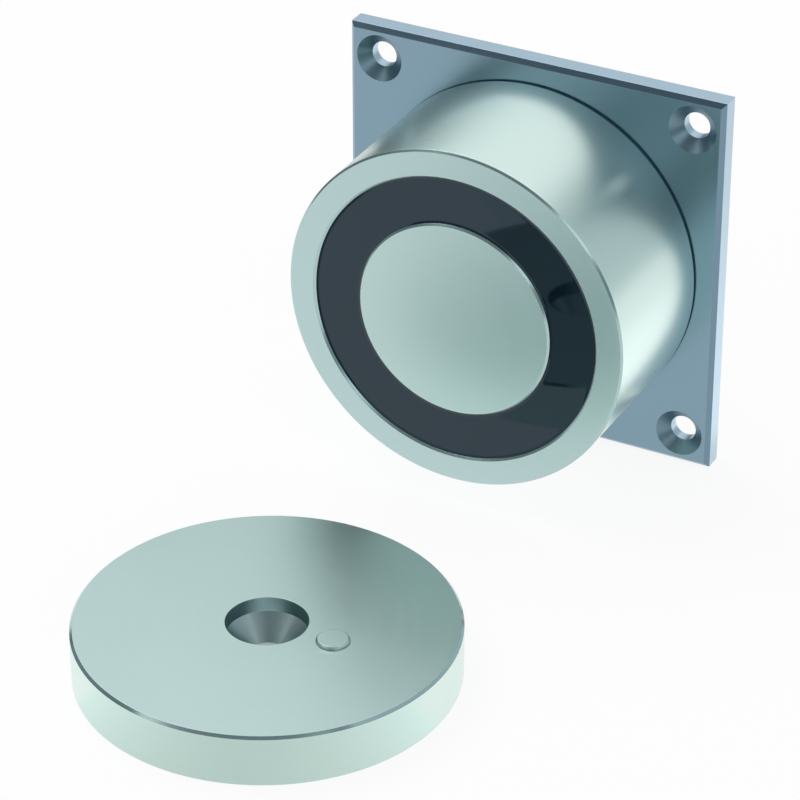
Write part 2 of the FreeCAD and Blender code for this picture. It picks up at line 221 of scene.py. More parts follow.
def greyCard(name, spec):
    # the tone goes from seen to seenTop across the card, and to seenEnds along it
    first, last = spec["azimuths"]
    x, y = spec.get("centre", (0, 0))
    steps = max(round(abs(last - first) / spec.get("step", cardStep)), 1)
    rows = (spec["seen"], spec.get("seenTop", spec["seen"]))
    corners = []
    seen = []
    for k in range(steps + 1):
        a = math.radians(first + (last - first) * k / steps)
        fade = abs(2 * k / steps - 1) ** cardFade
        for radius, height, tone in zip(spec["radii"], spec["heights"], rows):
            corners.append((x + radius * math.sin(a), y - radius * math.cos(a), height))
            seen.append(tone + (spec.get("seenEnds", tone) - tone) * fade)
    card = stageCard(name, corners, cardMaterial(name, spec["colour"]))
    card.data.attributes.new("seen", "FLOAT", "POINT").data.foreach_set("value", seen)
    card.visible_camera = False
    card.visible_diffuse = False
    card.visible_shadow = False


def makeLamp(name, spec):
    data = bpy.data.lights.new(name, "AREA")
    data.shape = "DISK"
    data.size = spec["size"]
    data.energy = spec["power"]
    lamp = addObject(name, data)
    lamp.location = spec["place"]
    lamp.rotation_mode = "QUATERNION"
    lamp.rotation_quaternion = (-Vector(spec["place"])).to_track_quat("-Z", "Y")


makeWorld(studio)
half = studio["floorSize"] / 2
stageCard("floor", [(x, y, cadLow.z) for x in (-half, half) for y in (half, -half)], floorMaterial(studio))
for name, spec in cards.items():
    greyCard(name, spec)
for name, spec in lamps.items():
    makeLamp(name, spec)
bpy.context.scene.view_settings.view_transform = "Standard"
print("studio set")


# materials
noiseLow, noiseHigh = 0.3, 0.7      # most of a noise lies between these
bandWidth = 6                       # a band on turned work, in fine marks
bandShare = 0.4                     # of the tone; soft patches make the rest
tapeDistortion = 0.3
rolledStretch = 0.06                # grain of rolled sheet is long in X
grain = {"marks": (1.0, 0.5), "bands": (3.0, 0.6), "patches": (3.0, 0.55),      # detail and roughness
         "surface": (2.0, 0.5), "mottling": (3.0, 0.6)}
grainDepth = 0.01 * mm
turnDepth = 0.1 * mm                # of wound wire or tape


def newMaterial(name):
    mat = bpy.data.materials.new(name)
    mat.use_nodes = True
    return mat, mat.node_tree, mat.node_tree.nodes["Principled BSDF"]


def objectPoint(tree, centre=(0, 0, 0), scale=(1, 1, 1)):
    coords = addNode(tree, "ShaderNodeTexCoord")
    return addNode(tree, "ShaderNodeMapping", {
        "Vector": coords.outputs["Object"], "Location": [-v for v in centre], "Scale": scale}).outputs[0]


def turnedPoint(tree, axis, centre):
    # distance from the axis and place along it: noise on this runs round the work, as a lathe's marks do
    place = addNode(tree, "ShaderNodeSeparateXYZ", {0: objectPoint(tree, centre)}).outputs
    first, second = (place[way] for way in "XYZ" if way != axis)
    squares = mathNode(tree, "MULTIPLY_ADD", second, second, mathNode(tree, "MULTIPLY", first, first))
    return addNode(tree, "ShaderNodeCombineXYZ", {
        0: mathNode(tree, "SQRT", squares), 1: place[axis]}).outputs[0]


def aroundY(tree):
    return turnedPoint(tree, "Y", (0, 0, 0))      # the magnet's axis


def aroundZ(tree):
    return turnedPoint(tree, "Z", armatureAxis)


def rolled(tree):
    return objectPoint(tree, scale=(rolledStretch, 1, 1))


def noise(tree, point, scale, kind):
    detail, roughness = grain[kind]
    return addNode(tree, "ShaderNodeTexNoise", {
        "Vector": point, "Scale": scale, "Detail": detail, "Roughness": roughness}).outputs["Fac"]


def spread(tree, value, low, high):
    return addNode(tree, "ShaderNodeMapRange", {
        "Value": value, "From Min": noiseLow, "From Max": noiseHigh,
        "To Min": low, "To Max": high}).outputs[0]


def paint(tree, shader, spec, tone):
    # the tone varies the colour, and gives back the roughness that goes with it
    colours = [[min(v * (1 + way * spec["variation"]), 1.0) for v in spec["colour"]] for way in (-1, 1)]
    tint = addNode(tree, "ShaderNodeMix", {
        "Factor": spread(tree, tone, 0, 1), "A": (*colours[0], 1), "B": (*colours[1], 1)}, data_type="RGBA")
    tree.links.new(tint.outputs["Result"], shader.inputs["Base Color"])
    middle, reach = spec["roughness"], spec["roughSpread"]
    return spread(tree, tone, middle - reach, middle + reach)


def bump(tree, shader, height, strength, distance=grainDepth):
    node = addNode(tree, "ShaderNodeBump", {"Height": height, "Strength": strength, "Distance": distance})
    tree.links.new(node.outputs[0], shader.inputs["Normal"])


def metal(name, spec, markPoint):
    # machined or plated metal: fine marks and wider bands that follow markPoint, soft patches,
    # and edges polished by handling
    mat, tree, shader = newMaterial(name)
    marks = noise(tree, markPoint(tree), spec["markScale"], "marks")
    bands = noise(tree, markPoint(tree), spec["markScale"] / bandWidth, "bands")
    patches = noise(tree, objectPoint(tree), spec["patchScale"], "patches")
    softer = mathNode(tree, "MULTIPLY", patches, 1 - bandShare)
    rough = paint(tree, shader, spec, mathNode(tree, "MULTIPLY_ADD", bands, bandShare, softer))
    wear = addNode(tree, "ShaderNodeAttribute", attribute_name="wear")
    worn = mathNode(tree, "MULTIPLY", wear.outputs["Fac"], spec["edgePolish"])
    tree.links.new(mathNode(tree, "SUBTRACT", rough, worn), shader.inputs["Roughness"])
    shader.inputs["Metallic"].default_value = 1.0
    bump(tree, shader, marks, spec["markStrength"])
    return mat


def moulded(name, spec):
    # plastic, resin, rubber: fine surface grain and a little mottling
    mat, tree, shader = newMaterial(name)
    fine = noise(tree, objectPoint(tree), spec["markScale"], "surface")
    patches = noise(tree, objectPoint(tree), spec["patchScale"], "mottling")
    tree.links.new(paint(tree, shader, spec, patches), shader.inputs["Roughness"])
    shader.inputs["Specular IOR Level"].default_value = spec.get("specular", 0.5)
    shader.inputs["Specular Tint"].default_value = (*spec.get("specularTint", white), 1)
    bump(tree, shader, fine, spec["markStrength"])
    return mat


def wound(name, spec):
    # round turns of wire or tape, one beside the other along Y
    mat, tree, shader = newMaterial(name)
    turns = addNode(tree, "ShaderNodeTexWave", {
        "Vector": objectPoint(tree), "Scale": spec["turnScale"], "Distortion": tapeDistortion},
        bands_direction="Y")
    patches = noise(tree, objectPoint(tree), spec["patchScale"], "mottling")
    tree.links.new(paint(tree, shader, spec, patches), shader.inputs["Roughness"])
    shader.inputs["Metallic"].default_value = spec["metallic"]
    bump(tree, shader, turns.outputs["Fac"], spec["markStrength"], turnDepth)
    return mat


armatureLow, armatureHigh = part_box("armature_plate")
armatureAxis = tuple((armatureLow + armatureHigh) / 2)
turnedSteel = {"roughSpread": 0.02, "variation": 0.015, "markScale": 5000, "patchScale": 60,
               "markStrength": 0.05, "edgePolish": 0.06}
bevelledSteel = {**turnedSteel, "markStrength": 0.02, "edgePolish": 0.0}
sheetSteel = {"roughSpread": 0.02, "variation": 0.015, "markScale": 2500, "patchScale": 90,
              "markStrength": 0.02, "edgePolish": 0.0}
magnetFinishesAndPaintedLight = {
    # painted light: the pot's side gets a lighter colour than its faces, for the brighter light that falls on
    # it; the cup is one plated steel
    "potSide": {**turnedSteel, "colour": (0.715, 0.88, 0.835), "roughness": 0.29, "variation": 0.012,
                "markStrength": 0.02},
    "potFace": {**turnedSteel, "colour": (0.50, 0.655, 0.65), "roughness": 0.36, "roughSpread": 0.025},
    # painted shade: the bevels of the pot and the pole get a darker colour, as dark lines along the edges
    "potBevel": {**bevelledSteel, "colour": (0.42, 0.58, 0.57), "roughness": 0.21},
    "coreFace": {**turnedSteel, "colour": (0.54, 0.70, 0.685), "roughness": 0.38, "roughSpread": 0.025},
    "screwZinc": {"colour": (0.55, 0.56, 0.57), "roughness": 0.32, "roughSpread": 0.05, "variation": 0.04,
                  "markScale": 4000, "patchScale": 200, "markStrength": 0.10, "edgePolish": 0.08},
}
armatureFinishesAndPaintedLight = {
    "armatureFace": {**turnedSteel, "colour": (0.53, 0.69, 0.665), "roughness": 0.33, "roughSpread": 0.025},
    # painted light: the armature's side gets a lighter colour than its top and bottom, for the light that
    # falls on it; it is one steel
    "armatureSide": {**turnedSteel, "colour": (0.74, 0.89, 0.83), "roughness": 0.32, "variation": 0.012},
    "armatureBevel": {**bevelledSteel, "colour": (0.50, 0.67, 0.68), "roughness": 0.17},
    # painted shade: the counterbore, cone and hole get a darker colour, as shade in the recess
    "boreFace": {**turnedSteel, "colour": (0.36, 0.48, 0.49), "roughness": 0.30, "patchScale": 90,
                 "markStrength": 0.06, "edgePolish": 0.0},
    "springWire": {"colour": (0.50, 0.50, 0.51), "roughness": 0.25, "roughSpread": 0.05, "variation": 0.05,
                   "markScale": 4000, "patchScale": 300, "markStrength": 0.08, "edgePolish": 0.0},
}
rolledFinishesAndPaintedLight = {
    "plateFace": {**sheetSteel, "colour": (0.23, 0.345, 0.42), "roughness": 0.25, "markScale": 2000,
                  "patchScale": 45, "edgePolish": 0.05},
    # painted light: the plate's sides and hole walls get a lighter colour than its face, for the bright floor
    # they reflect
    "plateEdge": {**sheetSteel, "colour": (0.49, 0.64, 0.75), "roughness": 0.32, "roughSpread": 0.03,
                  "variation": 0.02, "markStrength": 0.08, "edgePolish": 0.05},
    # painted shade: the plate's chamfers get a darker colour than its face, as dark lines along the edges
    "plateBevel": {**sheetSteel, "colour": (0.18, 0.275, 0.35), "roughness": 0.14, "markStrength": 0.0},
    # painted shade: the countersinks get a darker colour than the face, as shade in the hollows
    "sinkFace": {**sheetSteel, "colour": (0.175, 0.27, 0.32), "roughness": 0.36},
    "brass": {"colour": (0.78, 0.62, 0.33), "roughness": 0.28, "roughSpread": 0.06, "variation": 0.06,
              "markScale": 3000, "patchScale": 250, "markStrength": 0.12, "edgePolish": 0.0},
}
metals = {name: metal(name, spec, markPoint)
          for finishes, markPoint in ((magnetFinishesAndPaintedLight, aroundY), (armatureFinishesAndPaintedLight, aroundZ),
                                      (rolledFinishesAndPaintedLight, rolled))
          for name, spec in finishes.items()}

mouldings = {
    "castResin": {"colour": (0.004, 0.010, 0.018), "roughness": 0.045, "roughSpread": 0.01,
                  "variation": 0.10, "markScale": 400, "patchScale": 90, "markStrength": 0.04,
                  "specular": 0.68, "specularTint": (0.58, 0.83, 1.0)},
    "grommetRubber": {"colour": (0.022, 0.022, 0.023), "roughness": 0.62, "roughSpread": 0.08,
                      "variation": 0.15, "markScale": 2500, "patchScale": 200, "markStrength": 0.5},
    "bobbinNylon": {"colour": (0.50, 0.49, 0.44), "roughness": 0.48, "roughSpread": 0.06,
                    "variation": 0.05, "markScale": 3000, "patchScale": 120, "markStrength": 0.3},
    "insulatorFibre": {"colour": (0.38, 0.26, 0.13), "roughness": 0.70, "roughSpread": 0.08,
                       "variation": 0.12, "markScale": 1500, "patchScale": 300, "markStrength": 0.5},
    "terminalNylon": {"colour": (0.045, 0.045, 0.047), "roughness": 0.50, "roughSpread": 0.07,
                      "variation": 0.10, "markScale": 3000, "patchScale": 150, "markStrength": 0.4},
    "redInsulation": {"colour": (0.36, 0.02, 0.015), "roughness": 0.38, "roughSpread": 0.06,
                      "variation": 0.08, "markScale": 2500, "patchScale": 250, "markStrength": 0.2},
    "blackInsulation": {"colour": (0.018, 0.018, 0.018), "roughness": 0.38, "roughSpread": 0.06,
                        "variation": 0.10, "markScale": 2500, "patchScale": 250, "markStrength": 0.2},
    "sleeveSilicone": {"colour": (0.55, 0.52, 0.46), "roughness": 0.55, "roughSpread": 0.06,
                       "variation": 0.08, "markScale": 2000, "patchScale": 200, "markStrength": 0.3},
    "diodeEpoxy": {"colour": (0.02, 0.02, 0.02), "roughness": 0.35, "roughSpread": 0.05,
                   "variation": 0.10, "markScale": 3000, "patchScale": 300, "markStrength": 0.2},
}
plastics = {name: moulded(name, spec) for name, spec in mouldings.items()}

windings = {
    "copperTurns": {"colour": (0.62, 0.25, 0.10), "roughness": 0.30, "roughSpread": 0.06, "variation": 0.10,
                    "turnScale": 330, "patchScale": 150, "markStrength": 0.8, "metallic": 1.0},
    "cottonTape": {"colour": (0.62, 0.56, 0.40), "roughness": 0.78, "roughSpread": 0.08, "variation": 0.08,
                   "turnScale": 40, "patchScale": 400, "markStrength": 0.4, "metallic": 0.0},
}
wraps = {name: wound(name, spec) for name, spec in windings.items()}
print("materials made:", len(metals) + len(plastics) + len(wraps))


# CAD nodes whose shape stays as it is
kept = {"coil_bobbin": plastics["bobbinNylon"], "coil_winding": wraps["copperTurns"],
        "winding_tape": wraps["cottonTape"], "base_insulator": plastics["insulatorFibre"],
        "locating_pin": metals["springWire"], "terminal_housing": plastics["terminalNylon"],
        "terminal_clamps": metals["brass"], "terminal_fixing_screw": metals["screwZinc"],
        "lead_wire_positive": plastics["redInsulation"], "lead_wire_negative": plastics["blackInsulation"],
        "lead_sleeve": plastics["sleeveSilicone"], "suppressor_diode": plastics["diodeEpoxy"]}
for node, mat in kept.items():
    for holder in nodes[node].material_slots:
        holder.material = mat
print("CAD nodes finished:", len(kept))


# half sections, and the tree that turns them
arcSteps = 4
arcHold = 0.4                     # how far the hold points stand off a rounding, in its own radius
segments = 256                    # round a main piece
axisRadius = 1 * mm               # of the circle that a section follows
weldGap = 0.0005 * mm
faceLimit = 0.6                   # a face that looks along the axis more than this gets the face's finish
onWall = Matrix.Rotation(math.radians(90), 4, "X")      # height above the wall becomes -Y


def roundedSection(corners, closed):
    # corners: (radius, height, rounding); a rounded corner becomes a small arc with a hold point each side
    points = []
    last = len(corners) - 1
    for i, (r, h, rounding) in enumerate(corners):
        here = Vector((r, h))
        if rounding <= 0 or (not closed and i in (0, last)):
            points.append(here)
            continue
        wayIn = (here - Vector(corners[i - 1][:2])).normalized()
        wayOut = (Vector(corners[(i + 1) % len(corners)][:2]) - here).normalized()
        halfTurn = wayIn.angle(wayOut) / 2
        centre = here + (wayOut - wayIn).normalized() * rounding / math.cos(halfTurn)
        start = here - wayIn * rounding * math.tan(halfTurn)
        end = here + wayOut * rounding * math.tan(halfTurn)
        points.append(start - wayIn * rounding * arcHold)
        a = start - centre
        sweep = a.angle_signed(end - centre)
        for k in range(arcSteps + 1):
            points.append(centre + Matrix.Rotation(-sweep * k / arcSteps, 2) @ a)
        points.append(end + wayOut * rounding * arcHold)
    return points


def newTree(name, sockets):
    tree = bpy.data.node_groups.new(name, "GeometryNodeTree")
    for label, kind in sockets.items():
        tree.interface.new_socket(label, in_out="INPUT", socket_type="NodeSocket" + kind)
    tree.interface.new_socket("Geometry", in_out="OUTPUT", socket_type="NodeSocketGeometry")
    return tree, tree.nodes.new("NodeGroupInput").outputs, tree.nodes.new("NodeGroupOutput")


def realPiece(tree, geometry, mat):
    # the end of each tree: real geometry in its material
    real = addNode(tree, "GeometryNodeRealizeInstances", {0: geometry})
    return addNode(tree, "GeometryNodeSetMaterial", {"Geometry": real.outputs[0], "Material": mat}).outputs[0]


def makeTurnTree():
    tree, given, made = newTree("turnedPiece", {
        "Section": "Geometry", "Segments": "Int", "Axis Radius": "Float", "Face Limit": "Float",
        "Side Material": "Material", "Face Material": "Material"})
    circle = addNode(tree, "GeometryNodeCurvePrimitiveCircle", {
        "Resolution": given["Segments"], "Radius": given["Axis Radius"]})
    outline = addNode(tree, "GeometryNodeMeshToCurve", {"Mesh": given["Section"]})
    sweep = addNode(tree, "GeometryNodeCurveToMesh", {
        "Curve": circle.outputs["Curve"], "Profile Curve": outline.outputs["Curve"]})
    weld = addNode(tree, "GeometryNodeMergeByDistance", {
        "Geometry": sweep.outputs["Mesh"], "Distance": weldGap})
    side = realPiece(tree, weld.outputs[0], given["Side Material"])
    normal = addNode(tree, "GeometryNodeInputNormal")
    along = addNode(tree, "ShaderNodeSeparateXYZ", {0: normal.outputs[0]}).outputs["Z"]
    flat = addNode(tree, "FunctionNodeCompare", data_type="FLOAT", operation="GREATER_THAN")
    tree.links.new(mathNode(tree, "ABSOLUTE", along), flat.inputs[0])
    tree.links.new(given["Face Limit"], flat.inputs[1])
    face = addNode(tree, "GeometryNodeSetMaterial", {
        "Geometry": side, "Selection": flat.outputs[0], "Material": given["Face Material"]})
    tree.links.new(face.outputs[0], made.inputs[0])
    return tree


turnTree = makeTurnTree()


def plainMesh(item):
    # the mesh that an object's modifiers make
    bpy.context.view_layer.update()
    graph = bpy.context.evaluated_depsgraph_get()
    return bpy.data.meshes.new_from_object(item.evaluated_get(graph), depsgraph=graph)


def evaluated(name, mesh, tree, inputs):
    # runs a tree on a scratch object and gives back the plain mesh that it makes
    scratch = addObject(name + "Scratch", mesh)
    modifier = scratch.modifiers.new("shape", "NODES")
    modifier.node_group = tree
    for item in tree.interface.items_tree:
        if item.item_type == "SOCKET" and item.in_out == "INPUT" and item.name in inputs:
            modifier[item.identifier] = inputs[item.name]
    result = plainMesh(scratch)
    scratch.modifiers.remove(modifier)
    bpy.data.objects.remove(scratch)
    result.name = name
    return result


weldClose = 0.0002 * mm
sharpAngle = 32.0                 # degrees; smaller angles are shaded smooth
narrowFace = 0.06 * mm            # an edge rounding's face is narrower than this


def finishMesh(mesh, narrow=narrowFace):
    # welds, turns faces outwards, shades small angles smooth, and marks the narrow edge roundings as worn
    work = bmesh.new()
    work.from_mesh(mesh)
    bmesh.ops.remove_doubles(work, verts=work.verts, dist=weldClose)
    bmesh.ops.recalc_face_normals(work, faces=work.faces)
    wear = work.faces.layers.float.get("wear") or work.faces.layers.float.new("wear")
    for f in work.faces:
        f.smooth = True
        longest = max(e.calc_length() for e in f.edges)
        f[wear] = 1.0 if f.calc_area() / longest < narrow else 0.0
    limit = math.radians(sharpAngle)
    for e in work.edges:
        if len(e.link_faces) == 2:
            e.smooth = e.calc_face_angle() < limit
    work.to_mesh(mesh)
    work.free()
    mesh.update()


def turned(name, corners, closed, placement, side, face=None, count=segments):
    points = roundedSection(corners, closed)
    verts = [(p.x - axisRadius, -p.y, 0) for p in points]
    edges = [(i, i + 1) for i in range(len(verts) - 1)]
    if closed:
        edges.append((len(verts) - 1, 0))
    section = bpy.data.meshes.new(name + "Section")
    section.from_pydata(verts, edges, [])
    mesh = evaluated(name, section, turnTree, {
        "Segments": count, "Axis Radius": axisRadius, "Face Limit": faceLimit,
        "Side Material": side, "Face Material": face or side})
    mesh.transform(placement)
    finishMesh(mesh)
    return mesh


steepest, flattest = 0.35, 0.93      # how much a bevel looks along the axis


def finishBevels(mesh, axis, mat):
    # the faces that lean about 45 degrees to the axis are cut last, and are smoother; on the pot, the pole
    # and the plate their colour is also painted darker, as shade along the edges
    mesh.materials.append(mat)
    for f in mesh.polygons:
        if steepest < abs(f.normal.dot(Vector(axis))) < flattest:
            f.material_index = len(mesh.materials) - 1


def place(name, mesh, body, slot, *replaced):
    piece = addObject(name, mesh)
    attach(piece, body)
    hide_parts(*replaced)
    return piece


# loops of points, and cutters
beyond = 1 * mm          # how far a cutter stands out of what it cuts
drillSegments = 64


def circleLoop(work, centre, radius, height, count):
    return [work.verts.new((centre[0] + radius * math.cos(2 * math.pi * k / count),
                            centre[1] + radius * math.sin(2 * math.pi * k / count), height))
            for k in range(count)]


def bridge(work, loops):
    for a, b in zip(loops, loops[1:]):
        for k in range(len(a)):
            n = (k + 1) % len(a)
            work.faces.new((a[k], a[n], b[n], b[k]))


def loopEdges(work, loop):
    return [work.edges.get((loop[k], loop[(k + 1) % len(loop)])) for k in range(len(loop))]


def drill(mesh, cutters):
    # takes the cutter meshes out of the mesh
    work = addObject("drillWork", mesh)
    tools = []
    for cutter in cutters:
        tool = addObject("drillTool", cutter)
        cut = work.modifiers.new("cut", "BOOLEAN")
        cut.operation = "DIFFERENCE"
        cut.solver = "EXACT"
        cut.object = tool
        tools.append(tool)
    result = plainMesh(work)
    result.name = mesh.name
    for item in [work, *tools]:
        bpy.data.objects.remove(item)
    finishMesh(result)
    return result


def cutterMesh(name, work, placement):
    mesh = bpy.data.meshes.new(name)
    work.to_mesh(mesh)
    work.free()
    mesh.materials.append(metals["screwZinc"])
    mesh.transform(placement)
    return mesh


def rodCutter(radius, bottom, top, placement, count=drillSegments):
    corners = [(0, bottom, 0), (radius, bottom, 0), (radius, top, 0), (0, top, 0)]
    return turned("rodCutter", corners, False, placement, metals["screwZinc"], count=count)


def prismCutter(sides, radius, bottom, top, placement):
    work = bmesh.new()
    rings = [circleLoop(work, (0, 0), radius, height, sides) for height in (bottom, top)]
    bridge(work, rings)
    work.faces.new(rings[0][::-1])
    work.faces.new(rings[1])
    return cutterMesh("prismCutter", work, placement)


def slotCutter(length, width, bottom, top, placement):
    work = bmesh.new()
    bmesh.ops.create_cube(work, size=1.0)
    stretch = Matrix.Diagonal((length, width, top - bottom, 1))
    middle = Matrix.Translation((0, 0, (bottom + top) / 2))
    return cutterMesh("slotCutter", work, placement @ middle @ stretch)


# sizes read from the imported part
def onWallSize(node):
    # start and end of one of the magnet's pieces as distances from the wall, and its radius
    low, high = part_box(node)
    return -high.y, -low.y, (high.x - low.x) / 2


def wallPoint(node):
    low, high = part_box(node)
    return (low.x + high.x) / 2, (low.z + high.z) / 2


def onWallCentre(node):
    return onWall @ Matrix.Translation((*wallPoint(node), 0))


rounding = 0.08 * mm          # small edge rounding on machined steel
potRear, potFront, potRadius = onWallSize("magnet_pot")
coreRear, coreFront, poleRadius = onWallSize("pole_core")
resinRear, resinFront, resinRadius = onWallSize("potting_ring")
yokeFront = onWallSize("base_insulator")[0]
yokeRear = -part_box("terminal_housing")[0].y
plateLow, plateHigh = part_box("mounting_plate")
plateHalf = plateHigh.x
plateThickness = -plateLow.y


# wall plate
plateSizes = {"chamfer": 0.9 * mm, "cornerRound": 0.12 * mm, "cornerHold": 0.6, "hold": 0.3 * mm,
              "holeInset": 6.5 * mm, "holeRadius": 2.65 * mm, "sinkRadius": 4.9 * mm, "holeRound": 0.06 * mm,
              "screwSink": 7.85 * mm, "screwRecess": 0.2 * mm, "screwHole": 4.4 * mm,
              "grommetSeat": 6.45 * mm, "grommetHole": 4.75 * mm, "grommetDepth": 1.4 * mm,
              "dowelHole": 1.27 * mm, "dowelDepth": 3.3 * mm, "holeSegments": 96, "bevelReach": 1.2,
              "cornerTurns": (0, 22.5, 45, 67.5, 90)}


def squareLoop(work, halfSize, s, height):
    # square with small round corners and a hold point each side of them
    corner = s["cornerRound"]
    centre = halfSize - corner
    start = centre - corner * s["cornerHold"]
    turns = [math.radians(a) for a in s["cornerTurns"]]
    arc = [(centre + corner * math.cos(a), centre + corner * math.sin(a)) for a in turns]
    local = [(halfSize, start), *arc, (start, halfSize)]
    loop = []
    for k in range(4):
        turn = Matrix.Rotation(math.radians(90 * k), 3, "Z")
        loop += [work.verts.new(turn @ Vector((x, y, height))) for x, y in local]
    return loop


def plateHoles(s):
    # each hole's centre, and its profile from the front down to the back, or to a blind hole's bottom
    t = plateThickness
    r = s["holeRound"]
    hold = s["hold"] / 2
    reach = plateHalf - s["holeInset"]
    sink, hole = s["sinkRadius"], s["holeRadius"]
    corner = [(sink + hold, t, 0), (sink, t, r), (hole, t - (sink - hole), r),
              (hole, 0, r), (hole + hold, 0, 0)]
    holes = [((x * reach, y * reach), corner) for x in (-1, 1) for y in (-1, 1)]
    sink, hole, recess = s["screwSink"], s["screwHole"], s["screwRecess"]
    holes.append(((0, 0), [(hole + hold, t, 0), (hole, t, r), (hole, recess + sink - hole, 0),
                           (sink, recess, 0), (sink, 0, r), (sink + hold, 0, 0)]))
    seat, hole, depth = s["grommetSeat"], s["grommetHole"], s["grommetDepth"]
    holes.append((wallPoint("cable_grommet"), [(hole + hold, t, 0), (hole, t, r), (hole, depth, r),
                                               (seat, depth, 0), (seat, 0, r), (seat + hold, 0, 0)]))
    hole = s["dowelHole"]
    holes.append((wallPoint("locating_pin"), [(hole + hold, t, 0), (hole, t, r),
                                              (hole, t - s["dowelDepth"], 0)]))
    return holes


def makePlate(s):
    work = bmesh.new()
    t = plateThickness
    front = plateHalf - s["chamfer"]
    rim = roundedSection([(front - s["hold"], t, 0), (front, t, rounding),
                          (plateHalf, t - s["chamfer"], rounding), (plateHalf, 0, rounding),
                          (plateHalf - s["hold"], 0, 0)], False)
    loops = [squareLoop(work, p.x, s, p.y) for p in rim]
    bridge(work, loops)
    frontEdges = loopEdges(work, loops[0])
    backEdges = loopEdges(work, loops[-1])
    for centre, profile in plateHoles(s):
        points = roundedSection(profile, False)
        rings = [circleLoop(work, centre, p.x, p.y, s["holeSegments"]) for p in points]
        bridge(work, rings)
        frontEdges += loopEdges(work, rings[0])
        if points[-1].y == 0:
            backEdges += loopEdges(work, rings[-1])
        else:
            work.faces.new(rings[-1])
    bmesh.ops.triangle_fill(work, edges=frontEdges, use_beauty=True, normal=(0, 0, 1))
    bmesh.ops.triangle_fill(work, edges=backEdges, use_beauty=True, normal=(0, 0, -1))
    mesh = bpy.data.meshes.new("mountingPlate")
    work.to_mesh(mesh)
    work.free()
    for name in ("plateFace", "plateEdge", "sinkFace"):
        mesh.materials.append(metals[name])
    finishMesh(mesh)
    finishBevels(mesh, (0, 0, 1), metals["plateBevel"])
    inner = plateHalf - s["chamfer"] * s["bevelReach"]
    for f in mesh.polygons:
        if abs(f.normal.z) <= steepest:
            f.material_index = mesh.materials.find("plateEdge")      # sides and bores
        elif (f.material_index == mesh.materials.find("plateBevel")
              and max(abs(f.center.x), abs(f.center.y)) < inner):
            f.material_index = mesh.materials.find("sinkFace")       # the bevels inside the outline, painted darker as shade in the countersinks
    mesh.transform(onWall)
    return place("mountingPlate", mesh, "holder", "plate_steel", "mounting_plate")


makePlate(plateSizes)
print("wall plate made")


# pot, pole and resin
potSizes = {"chamfer": 0.4 * mm, "foot": 0.55 * mm, "rearWall": 4.5 * mm, "boss": 9.0 * mm,
            "chamberRound": 0.3 * mm, "screwHole": 4.4 * mm, "spigotHole": 7.05 * mm,
            "resinClearance": 0.02 * mm, "dowelHole": 1.27 * mm, "dowelDepth": 5.3 * mm,
            "sleeveClearance": 0.05 * mm, "stripHole": 1.05 * mm, "stripDepth": 3.3 * mm}
coreSizes = {"chamfer": 0.4 * mm, "spigot": 7.0 * mm, "tappedHole": 4.05 * mm, "tappedEnd": 28.0 * mm}
resinSizes = {"meniscus": 0.12 * mm, "width": 0.5 * mm, "curve": 0.8 * mm}


def makePot(s):
    r = rounding
    c = s["chamfer"]
    f = s["foot"]
    inside = s["chamberRound"]
    chamber = potRadius - s["rearWall"]
    coil = resinRadius + s["resinClearance"]
    corners = [
        (s["boss"], potRear, r), (s["boss"], yokeRear, inside), (chamber, yokeRear, inside),
        (chamber, potRear, r), (potRadius - f, potRear, 0), (potRadius - f, potRear + f, 0),
        (potRadius, potRear + f, r), (potRadius, potFront - c, r), (potRadius - c, potFront, r),
        (coil + c, potFront, r), (coil, potFront - c, r), (coil, yokeFront, 0),
        (s["spigotHole"], yokeFront, 0), (s["spigotHole"], coreRear, 0), (s["screwHole"], coreRear, 0),
        (s["screwHole"], potRear, 0)]
    mesh = turned("magnetPot", corners, True, onWall, metals["potSide"], metals["potFace"])
    sleeve = onWallSize("lead_sleeve")[2] + s["sleeveClearance"]
    mesh = drill(mesh, [
        rodCutter(s["dowelHole"], potRear - beyond, potRear + s["dowelDepth"], onWallCentre("locating_pin")),
        rodCutter(sleeve, yokeRear - beyond, yokeFront + beyond, onWallCentre("lead_sleeve")),
        rodCutter(s["stripHole"], yokeRear - beyond, yokeRear + s["stripDepth"],
                  onWallCentre("terminal_fixing_screw"))])
    finishBevels(mesh, (0, 1, 0), metals["potBevel"])
    return place("magnetPot", mesh, "holder", "plated_steel", "magnet_pot")


def makeCore(s):
    c = s["chamfer"]
    corners = [
        (0, s["tappedEnd"], 0), (s["tappedHole"], s["tappedEnd"], 0), (s["tappedHole"], coreRear, rounding),
        (s["spigot"], coreRear, rounding), (s["spigot"], yokeFront, 0), (poleRadius, yokeFront, rounding),
        (poleRadius, coreFront - c, rounding), (poleRadius - c, coreFront, rounding), (0, coreFront, 0)]
    mesh = turned("poleCore", corners, False, onWall, metals["coreFace"])
    finishBevels(mesh, (0, 1, 0), metals["potBevel"])
    return place("poleCore", mesh, "holder", "pole_steel", "pole_core")


def makeResin(s):
    # poured level: the surface climbs a little at both steel walls
    inner = poleRadius + potSizes["resinClearance"]
    level = resinFront - s["meniscus"]
    corners = [
        (inner, resinRear, 0), (resinRadius, resinRear, 0), (resinRadius, resinFront, 0),
        (resinRadius - s["width"], level, s["curve"]), (inner + s["width"], level, s["curve"]),
        (inner, resinFront, 0)]
    mesh = turned("pottingRing", corners, True, onWall, plastics["castResin"])
    return place("pottingRing", mesh, "holder", "resin", "potting_ring")


makePot(potSizes)
makeCore(coreSizes)
makeResin(resinSizes)
print("pot, pole and resin made")


# screw and grommet in the back of the plate
screwSizes = {"shank": 4.0 * mm, "tipBevel": 1.0 * mm, "round": 0.1 * mm, "neckRound": 0.2 * mm,
              "socket": 5.0 * mm, "socketDepth": 2.6 * mm, "socketSides": 6, "segments": 160}
grommetSizes = {"cable": 3.0 * mm, "neck": 4.7 * mm, "lip": 5.7 * mm, "flange": 1.2 * mm,
                "round": 0.35 * mm, "seatRound": 0.1 * mm, "tipRound": 0.2 * mm, "segments": 128}


